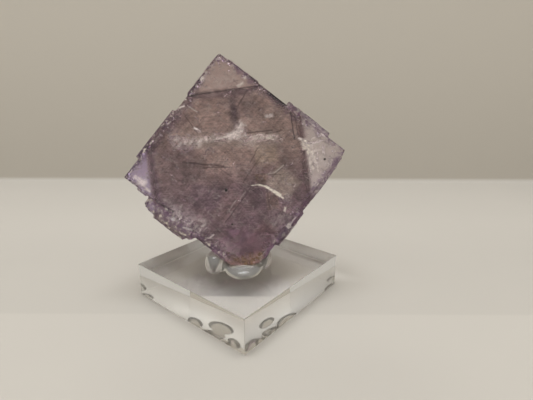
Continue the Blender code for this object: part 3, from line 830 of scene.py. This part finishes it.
def lens_sheet(bm, middle, half_length, half_width, turn, lean, seed, thickness=0.05, ragged=0.35, wave=0.18,
               rings=7, sectors=40):
    """A ragged wavy sheet, closed, thickest in its middle, that fades to its rim. middle is across, up, deep."""
    normal = Vector((0.0, math.sin(lean), math.cos(lean)))
    along = Vector((math.cos(turn), math.sin(turn), 0.0))
    along = (along - normal * along.dot(normal)).normalized()
    aside = normal.cross(along)
    fade = bm.verts.layers.float["fade"]
    centre = Vector((middle[0], middle[1], -middle[2]))
    for side in (1, -1):
        hub = bm.verts.new(centre + normal * thickness * side)
        hub[fade] = 1.0
        grid = []
        for ring in range(1, rings + 1):
            share = ring / rings
            row = []
            for sector in range(sectors):
                angle = 2 * math.pi * sector / sectors
                around = Vector((math.cos(angle), math.sin(angle), seed))
                edge = 1.0 + ragged * (noise.fractal(around * 1.7, 0.7, 2.0, 4) + 0.15)
                x = share * edge * half_length * math.cos(angle)
                y = share * edge * half_width * math.sin(angle)
                bend = wave * noise.noise(Vector((x * 0.4, y * 0.4, seed * 2.3)))
                lift = bend + side * thickness * (1 - share * share)
                row.append(bm.verts.new(centre + along * x + aside * y + normal * lift))
                row[-1][fade] = 1.0 - share * share
            grid.append(row)
        for sector in range(sectors):
            after = (sector + 1) % sectors
            bm.faces.new((hub, grid[0][sector], grid[0][after])[::side])
            for ring in range(rings - 1):
                bm.faces.new((grid[ring][sector], grid[ring + 1][sector], grid[ring + 1][after],
                              grid[ring][after])[::side])


def sheets_object(name, sheets, **options):
    """One piece from many sheets, each (middle, half length, half width, turn, lean, seed)."""
    bm = bmesh.new()
    bm.verts.layers.float.new("fade")
    for sheet in sheets:
        lens_sheet(bm, *sheet, **options)
    bmesh.ops.remove_doubles(bm, verts=bm.verts, dist=0.0004)
    bmesh.ops.transform(bm, matrix=face_axes, verts=bm.verts)
    bmesh.ops.recalc_face_normals(bm, faces=bm.faces)
    for face in bm.faces:
        face.smooth = True
    return new_object(name, made_mesh(bm, name))


def veil(name, colour, roughness, shine, stretch, turn, span, most, depth=0.5):
    """A pale skin in patches: its alpha rises over a span of drawn-out mottle, up to most."""
    material, tree, shader = node_tree(name)
    place = face_place(tree)
    mottle = streaks(tree, place, turn, stretch, 5.0)
    fade = ramp(tree, add_node(tree, "Attribute", attribute_name="fade").outputs["Fac"], 0.0, 0.45)
    cover = product(tree, ramp(tree, mottle, *span, 0.0, most), fade)
    shade = mix_colour(tree, ramp(tree, mottle, *span), tuple(0.8 * c for c in colour), colour)
    feed(tree, shader, Alpha=cover, Base_Color=shade, Roughness=roughness, Metallic=shine,
         Normal=relief(tree, mottle, depth, 0.00015))
    return material


def inside_piece(obj, material):
    """A piece that the crystal holds or carries."""
    obj.data.materials.append(material)
    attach(obj, "root")


# The fracture band: a healed crack that crosses the face a little above its middle
BAND = (
    ((-12.5, 10.0, 2.4), 7.5, 1.5, -0.05, LEAN_BACK, 1.0),
    ((-4.0, 9.5, 2.2), 6.0, 1.8, 0.04, LEAN_BACK, 2.0),
    ((1.6, 9.6, 2.3), 4.6, 2.3, 0.22, 0.36, 3.0),
    ((3.6, 12.4, 2.2), 2.4, 2.0, 0.9, 0.30, 4.0),
    ((9.2, 7.8, 2.4), 6.8, 1.6, -0.10, LEAN_BACK, 5.0),
    ((14.6, 6.6, 2.5), 3.6, 1.2, -0.16, 0.36, 6.0),
)
inside_piece(sheets_object("fracture_band", BAND),
             veil("fracture_skin", (1.0, 0.91, 0.88), roughness=0.42, shine=0.35, stretch=(0.4, 1.1, 0.5),
                  turn=0.0, span=(0.42, 0.60), most=0.9))

# The milky clouds: healed cleavage cracks full of fine bubbles, low on the left and in the left of the band
CLOUDS = (
    ((-22.4, -14.0, 1.6), 3.6, 2.2, -0.75, 0.45, 11.0),
    ((-18.4, -17.6, 1.7), 4.2, 2.2, -0.70, 0.40, 12.0),
    ((-14.0, -20.2, 1.6), 3.2, 1.9, -0.60, 0.45, 13.0),
    ((-11.4, -22.9, 1.4), 1.5, 1.1, 0.30, 0.50, 14.0),
    ((-18.6, 10.2, 2.0), 3.4, 2.2, -0.55, 0.50, 15.0),
    ((-14.8, 8.0, 2.2), 4.2, 2.2, 0.10, 0.45, 16.0),
    ((-11.0, 13.2, 1.6), 2.0, 1.1, -0.75, 0.50, 17.0),
    ((12.6, -20.4, 1.8), 3.6, 2.0, 0.60, 0.45, 18.0),
    ((-8.8, -26.2, 1.4), 2.6, 1.6, -0.70, 0.45, 19.0),
    ((16.0, -14.0, 1.8), 2.4, 2.2, 0.30, 0.45, 20.0),
)
inside_piece(sheets_object("milky_clouds", CLOUDS, rings=5, sectors=28, thickness=0.03, wave=0.05),
             veil("milky_skin", (0.98, 0.94, 0.98), roughness=0.8, shine=0.0, stretch=(0.35, 0.5, 0.4),
                  turn=-0.6, span=(0.32, 0.70), most=0.6, depth=0.1))

# The right-hand fractures: a fan of cream-white cleavage openings where the thin corner begins
RIGHT_FAN = (
    ((24.6, 4.4, 1.5), 3.6, 0.9, -0.85, 0.50, 21.0),
    ((26.0, 1.0, 1.6), 0.9, 3.6, 0.10, 0.40, 22.0),
    ((27.4, -2.4, 1.6), 0.8, 3.4, -0.30, 0.40, 23.0),
    ((25.2, -4.2, 1.7), 0.5, 3.0, 0.05, 0.40, 24.0),
    ((22.9, 5.6, 1.3), 1.8, 0.8, -0.60, 0.50, 25.0),
    ((28.6, 4.0, 1.6), 2.6, 0.6, 0.20, 0.45, 26.0),
    ((30.4, 0.8, 1.6), 0.5, 2.2, -0.10, 0.40, 27.0),
    ((14.2, 14.5, 1.4), 1.5, 1.0, 0.10, 0.50, 28.0),
)
inside_piece(sheets_object("right_fractures", RIGHT_FAN, rings=4, sectors=24),
             veil("cream_skin", (1.0, 0.96, 0.90), roughness=0.42, shine=0.3, stretch=(0.9, 1.1, 0.8),
                  turn=0.4, span=(0.36, 0.54), most=0.9))

# The shards: small cleavage flashes scattered through the face, along the growth directions
SHARD_COUNT = 110
SHARD_REACH = 25.0
SHARD_CORNER = 29.0
SHARD_TURNS = (DIAGONAL, -DIAGONAL, 0.05, 0.9, -0.35)
rng = random.Random(20)
shards = []
for i in range(SHARD_COUNT):
    across = rng.uniform(-SHARD_REACH, SHARD_REACH)
    up = rng.uniform(-1.0, 1.0) * (SHARD_CORNER - abs(across))
    length = rng.uniform(0.35, 1.3)
    shards.append(((across, up, rng.uniform(0.7, 2.2)), length, length * rng.uniform(0.10, 0.30),
                   rng.choice(SHARD_TURNS) + rng.uniform(-0.12, 0.12), rng.uniform(0.15, 0.5), 50.0 + i))
inside_piece(sheets_object("shards", shards, rings=2, sectors=10, thickness=0.03, wave=0.05),
             veil("shard_skin", (1.0, 0.95, 0.97), roughness=0.38, shine=0.45, stretch=(0.5, 0.7, 0.6),
                  turn=0.2, span=(0.36, 0.55), most=0.9))

# The rim chips: the same flashes, close together along the four edges and largest on the upper left one
CHIP_COUNT = 260
CHIP_REACH = 25.5
CHIP_RIM = 25.9
rim_chips = []
for i in range(CHIP_COUNT):
    along = rng.uniform(-CHIP_REACH, CHIP_REACH)
    inset = CHIP_RIM - abs(rng.gauss(0.0, 0.9))
    q, p = ((along, -inset), (-inset, along), (inset, along), (along, inset))[i % 4]
    length = rng.uniform(0.22, 0.75) * (1.25 if i % 4 == 0 else 1.0)
    rim_chips.append((((q + p) * HALF, (q - p) * HALF, rng.uniform(0.4, 1.4)), length,
                      length * rng.uniform(0.25, 0.6), rng.uniform(-1.5, 1.5), rng.uniform(0.1, 0.55), 300.0 + i))
inside_piece(sheets_object("rim_chips", rim_chips, rings=2, sectors=9, thickness=0.03, wave=0.05),
             veil("rim_skin", (1.0, 0.96, 0.97), roughness=0.38, shine=0.5, stretch=(0.6, 0.6, 0.6),
                  turn=0.2, span=(0.36, 0.52), most=0.95))

# The inclusions: a few black grains, each with its place across, up and deep and its radius, and rust in
# the lowest tip and near the top
GRAINS = ((-3.8, -8.3, 0.2, 0.50), (30.3, -2.3, 0.2, 0.40), (-2.6, 4.2, 1.2, 0.14), (-3.2, -19.9, 1.0, 0.30),
          (-2.4, -9.6, 0.9, 0.12), (16.9, 9.6, 1.1, 0.14))


def grains_object(name, grains):
    bm = bmesh.new()
    for across, up, deep, radius in grains:
        made = bmesh.ops.create_icosphere(bm, subdivisions=2, radius=radius)["verts"]
        for vertex in made:
            vertex.co *= 1.0 + 0.3 * noise.noise(vertex.co * 4.0 + Vector((across, up, 0.0)))
        bmesh.ops.translate(bm, vec=(across, up, -deep), verts=made)
    bmesh.ops.transform(bm, matrix=face_axes, verts=bm.verts)
    return new_object(name, made_mesh(bm, name))


def dark_mineral():
    material, tree, shader = node_tree("dark_mineral")
    feed(tree, shader, Base_Color=(0.012, 0.010, 0.010, 1.0), Roughness=0.6)
    return material


inside_piece(grains_object("black_grains", GRAINS), dark_mineral())

RUST = (
    ((-4.6, -30.6, 0.7), 2.4, 1.3, -0.75, 0.2, 71.0),
    ((-1.4, -32.6, 0.7), 2.6, 1.4, -0.35, 0.2, 72.0),
    ((2.0, -33.2, 0.7), 2.6, 1.2, 0.40, 0.2, 73.0),
    ((4.6, -31.6, 0.7), 2.2, 1.0, 0.75, 0.2, 74.0),
    ((0.4, -30.8, 0.9), 2.4, 1.0, 0.10, 0.2, 75.0),
    ((-4.9, 32.2, 0.8), 0.7, 0.4, 0.80, 0.2, 76.0),
    ((-3.0, 34.6, 0.8), 0.6, 0.3, 0.80, 0.2, 77.0),
    ((-6.4, 30.4, 0.8), 0.5, 0.3, 0.80, 0.2, 78.0),
)
inside_piece(sheets_object("rust_stain", RUST, rings=4, sectors=22, wave=0.1),
             veil("rust", (0.60, 0.49, 0.35), roughness=0.7, shine=0.0, stretch=(0.9, 1.1, 0.8), turn=0.3,
                  span=(0.40, 0.62), most=0.75))

# The worn skin of the face: bruises, opened crack lips, dust in the growth lines and chipped edges. It lies a
# few hundredths of a millimetre proud of the face and is bare glass wherever nothing marks the crystal.
SKIN_STEP = 0.4
SKIN_LIFT = 0.035
SKIN_SPAN = (-32.5, 32.5)
SKIN_START = 2.0
SKIN_DEEPEST = 4.0
SKIN_BREAK = 0.35
SKIN_REACH = 9.0
WHITE_BRUISE = (0.88, 0.77, 0.78)
CREAM_BRUISE = (0.86, 0.79, 0.66)
# Lips and spots: middle, half size, turn, softness, raggedness, strength, and how cream they are from 0 to 1
LIPS = (
    ((6.3, -7.9), (1.5, 0.16), -0.05, 0.16, 0.5, 0.75, 0.9),
    ((8.6, -8.5), (1.5, 0.30), -0.36, 0.20, 0.7, 0.85, 0.9),
    ((10.9, -9.9), (1.7, 0.44), -0.62, 0.24, 0.8, 0.95, 0.8),
    ((13.0, -11.6), (1.5, 0.55), -0.72, 0.24, 0.9, 0.95, 0.8),
    ((14.4, -13.0), (0.8, 0.30), -0.85, 0.20, 0.5, 0.85, 0.8),
    ((14.9, -17.2), (0.35, 0.75), -0.30, 0.3, 0.8, 0.70, 0.8),
    ((15.4, -23.0), (0.9, 0.7), 0.70, 0.3, 1.2, 0.55, 0.3),
    ((17.0, -21.4), (1.3, 0.16), 0.85, 0.2, 0.8, 0.60, 0.4),
    ((-7.1, 29.6), (0.8, 0.7), 0.78, 0.4, 1.2, 0.70, 0.4),
    ((-15.5, 20.9), (1.7, 0.26), 0.10, 0.3, 1.2, 0.80, 0.2),
    ((-11.4, 19.9), (2.2, 0.12), -0.72, 0.15, 0.8, 0.60, 0.2),
    ((-11.2, 13.3), (0.7, 0.30), -0.60, 0.25, 0.8, 0.90, 0.1),
    ((-10.2, 12.6), (0.9, 0.12), -0.75, 0.15, 0.8, 0.60, 0.1),
    ((13.7, 14.4), (1.3, 0.60), 0.12, 0.5, 1.4, 0.42, 0.0),
    ((22.9, 5.5), (0.7, 0.30), -0.50, 0.3, 0.8, 0.95, 0.3),
    ((24.3, 3.4), (1.3, 0.35), -0.75, 0.5, 2.4, 0.65, 0.6),
    ((25.4, 1.2), (1.1, 0.40), -1.10, 0.5, 2.4, 0.55, 0.8),
    ((23.9, 2.2), (0.6, 0.5), 0.0, 0.3, 1.2, 0.70, 1.0),
    ((26.8, -2.0), (0.35, 1.7), 0.10, 0.4, 2.0, 0.55, 0.5),
    ((27.6, 0.9), (1.6, 0.20), 0.15, 0.3, 1.4, 0.45, 0.3),
    ((25.2, -3.4), (0.22, 2.2), 0.02, 0.3, 1.4, 0.55, 0.7),
    ((27.4, -5.2), (0.24, 1.2), 0.10, 0.3, 1.4, 0.50, 0.5),
    ((28.3, 3.6), (2.0, 0.18), 0.22, 0.3, 1.4, 0.50, 0.3),
    ((30.9, 5.9), (0.9, 0.25), -0.70, 0.3, 0.8, 0.80, 0.0),
    ((24.5, 4.6), (0.50, 0.22), -0.60, 0.2, 0.6, 0.90, 0.9),
    ((25.5, 3.0), (0.45, 0.25), -0.90, 0.2, 0.6, 0.90, 1.0),
    ((24.9, 0.6), (0.28, 0.55), 0.20, 0.2, 0.6, 0.80, 0.9),
    ((26.4, 0.2), (0.22, 0.70), 0.10, 0.2, 0.6, 0.80, 0.6),
    ((25.9, -4.6), (0.22, 0.60), 0.10, 0.2, 0.6, 0.75, 0.8),
    ((27.2, 5.2), (0.70, 0.16), 0.30, 0.2, 0.6, 0.70, 0.2),
    ((-31.0, -2.4), (1.3, 1.0), -0.45, 0.8, 1.2, 0.75, 0.0),
    ((-32.6, -0.6), (1.0, 0.5), -0.70, 0.5, 1.2, 0.65, 0.0),
    ((-29.4, -5.0), (0.9, 0.4), -0.80, 0.4, 1.2, 0.70, 0.2),
    ((-10.4, -22.9), (0.9, 0.18), 0.62, 0.2, 0.4, 0.80, 0.0),
    ((-11.9, -23.4), (0.8, 0.16), -0.30, 0.2, 0.4, 0.60, 0.0),
    ((12.0, -4.6), (2.0, 0.13), 0.10, 0.15, 0.6, 0.50, 0.7),
    ((15.0, -3.4), (1.6, 0.13), 0.55, 0.15, 0.6, 0.50, 0.7),
    ((5.4, 26.0), (1.1, 0.5), 0.55, 0.4, 1.2, 0.45, 0.9),
    ((7.2, 28.2), (0.6, 0.5), 0.55, 0.4, 1.2, 0.55, 0.9),
    ((-7.5, -30.2), (1.2, 0.3), -0.76, 0.4, 1.6, 0.30, 0.6),
    ((5.8, -31.4), (1.6, 0.3), 0.74, 0.4, 1.6, 0.35, 0.8),
    ((9.8, -27.4), (0.9, 0.3), 0.78, 0.4, 1.6, 0.45, 0.7),
    ((-2.2, -13.6), (2.4, 0.11), 0.82, 0.12, 0.6, 0.40, 0.1),
    ((1.6, -10.6), (1.6, 0.11), 0.78, 0.12, 0.6, 0.35, 0.1),
    ((2.9, 11.4), (2.0, 0.20), 0.95, 0.3, 2.0, 0.65, 0.3),
    ((1.2, 10.2), (1.4, 0.22), 0.70, 0.3, 2.0, 0.55, 0.2),
    ((4.8, 12.8), (1.3, 0.14), -0.55, 0.2, 1.2, 0.50, 0.2),
    ((-3.6, 9.0), (2.4, 0.12), 0.10, 0.2, 1.6, 0.50, 0.4),
    ((8.6, 8.4), (2.2, 0.14), 0.10, 0.2, 1.6, 0.50, 0.7),
    ((13.0, 6.8), (1.4, 0.20), -0.25, 0.3, 1.6, 0.55, 1.0),
)
# Clouds of fine scuffs: middle, half size, turn, softness, raggedness, strength, cream
HAZES = (
    ((-3.8, 9.2), (7.4, 0.8), 0.02, 0.9, 1.6, 0.75, 0.4),
    ((1.9, 9.7), (3.4, 1.4), 0.20, 0.9, 2.4, 0.85, 0.2),
    ((3.6, 12.4), (1.0, 1.9), -0.60, 0.8, 2.0, 0.75, 0.2),
    ((11.2, 7.4), (5.6, 0.9), -0.06, 0.9, 2.4, 0.62, 0.8),
    ((-14.8, 8.8), (5.0, 1.6), -0.10, 1.2, 2.4, 0.45, 0.0),
    ((-17.6, 11.2), (2.8, 1.4), -0.70, 1.2, 2.4, 0.35, 0.0),
    ((-20.6, -14.4), (1.6, 2.8), -0.10, 1.4, 2.4, 0.52, 0.0),
    ((-17.4, -18.4), (4.4, 1.8), -0.68, 1.4, 2.4, 0.50, 0.0),
    ((-13.2, -18.0), (1.8, 2.6), 0.20, 1.4, 2.0, 0.48, 0.0),
    ((-23.9, -9.6), (2.8, 0.9), -0.68, 1.0, 2.0, 0.30, 0.0),
    ((12.8, -20.6), (3.6, 2.2), 0.60, 1.4, 2.4, 0.28, 0.1),
    ((25.6, 1.6), (1.5, 4.2), 0.35, 1.0, 2.4, 0.55, 0.7),
    ((28.0, -0.6), (3.0, 4.4), -0.20, 1.6, 2.4, 0.36, 0.4),
    ((29.6, 8.0), (2.6, 3.4), -0.70, 1.6, 2.4, 0.22, 0.0),
    ((-1.4, 28.0), (6.0, 2.6), 0.05, 1.6, 2.4, 0.20, 0.4),
    ((-31.5, -2.0), (2.0, 2.2), -0.40, 1.2, 1.8, 0.40, 0.0),
    ((-6.0, -27.0), (4.4, 1.8), -0.60, 1.2, 2.0, 0.30, 0.0),
)


def face_skin(body):
    """A fine sheet just in front of the growth face, kept only where the body has a face beneath it."""
    tree = BVHTree.FromPolygons([v.co.copy() for v in body.vertices], [tuple(f.vertices) for f in body.polygons])
    bm = bmesh.new()
    inwards = (crystal_axes.to_3x3() @ Vector((0, 0, 1))).normalized()
    steps = int((SKIN_SPAN[1] - SKIN_SPAN[0]) / SKIN_STEP) + 1
    grid = {}
    depths = {}
    for i in range(steps):
        for j in range(steps):
            q = SKIN_SPAN[0] + i * SKIN_STEP
            p = SKIN_SPAN[0] + j * SKIN_STEP
            start = crystal_axes @ Vector((q, p, -SKIN_START))
            hit, _, _, distance = tree.ray_cast(start, inwards, (SKIN_DEEPEST + SKIN_START) * MM)
            if hit:
                grid[i, j] = bm.verts.new(hit - inwards * SKIN_LIFT * MM)
                depths[i, j] = distance / MM
    for i, j in list(grid):
        corners = ((i, j), (i + 1, j), (i + 1, j + 1), (i, j + 1))
        if all(corner in grid for corner in corners):
            levels = [depths[corner] for corner in corners]
            if max(levels) - min(levels) < SKIN_BREAK:
                bm.faces.new([grid[corner] for corner in corners])
    bmesh.ops.delete(bm, geom=[v for v in bm.verts if not v.link_faces], context="VERTS")
    for face in bm.faces:
        face.smooth = True
    return made_mesh(bm, "worn_skin")


# Light crack lips all over the face: turn, stretch, width, strength
CRACK_LIPS = (
    (0.05, (0.16, 0.55, 0.2), 0.030, 0.32),
    (DIAGONAL, (0.20, 0.60, 0.2), 0.028, 0.38),
    (-DIAGONAL, (0.22, 0.50, 0.2), 0.028, 0.34),
    (0.5, (0.8, 1.1, 0.2), 0.040, 0.26),
)


def worn_skin():
    """Dull white or cream wherever a mark lies, by its alpha, and nothing elsewhere."""
    material, tree, shader = node_tree("worn_skin")
    place = face_place(tree)
    fine = streaks(tree, place, 0.5, (1.6, 2.4, 1.0), 6.0)
    broad = streaks(tree, place, -0.7, (0.5, 1.0, 1.0), 5.0)
    speckle = ramp(tree, fine, 0.42, 0.62)
    lip_mottle = ramp(tree, fine, 0.30, 0.48)
    haze_mottle = product(tree, ramp(tree, broad, 0.36, 0.60), ramp(tree, fine, 0.38, 0.64, 0.35, 1.0))
    cream = 0.25
    cover = 0.0
    for table, mottle in ((LIPS, lip_mottle), (HAZES, haze_mottle)):
        for middle, half, turn, softness, ragged, strength, creamy in table:
            mask = patch_mask(tree, place, middle, (*half, SKIN_REACH), turn, softness, ragged)
            mask = product(tree, mask, mottle, strength)
            kept = math_node(tree, "SUBTRACT", 1.0, mask)
            cover = math_node(tree, "ADD", product(tree, cover, kept), mask)
            cream = math_node(tree, "ADD", product(tree, cream, kept), product(tree, mask, creamy))
    for turn, stretch, width, strength in CRACK_LIPS:
        lines = product(tree, cracks(tree, place, turn, stretch, width), speckle, strength)
        cover = math_node(tree, "MAXIMUM", cover, lines)

    # The rim is bruised chip by chip, most of all on the left
    edge = use_group(tree, rim_group, place, Chip_Scale=1.5)
    bruised = product(tree, ramp(tree, edge["Outermost"], 24.6, 26.2), ramp(tree, broad, 0.44, 0.60),
                      ramp(tree, edge["Chip"], 0.50, 0.70, 0.0, 0.85),
                      ramp(tree, edge["Leftward"], -5.0, 20.0, 0.3, 1.0))
    cover = math_node(tree, "MAXIMUM", cover, bruised)
    cream = math_node(tree, "ADD", cream, product(tree, bruised, 0.6), clamp=True)
    cover = math_node(tree, "MAXIMUM", cover, product(tree, speckle, 0.05))
    feed(tree, shader, Alpha=math_node(tree, "MINIMUM", cover, 0.95), Roughness=0.6,
         Base_Color=mix_colour(tree, cream, WHITE_BRUISE, CREAM_BRUISE), Normal=relief(tree, fine, 0.5, 0.0002))
    return material


inside_piece(new_object("worn_skin", face_skin(crystal.data)), worn_skin())
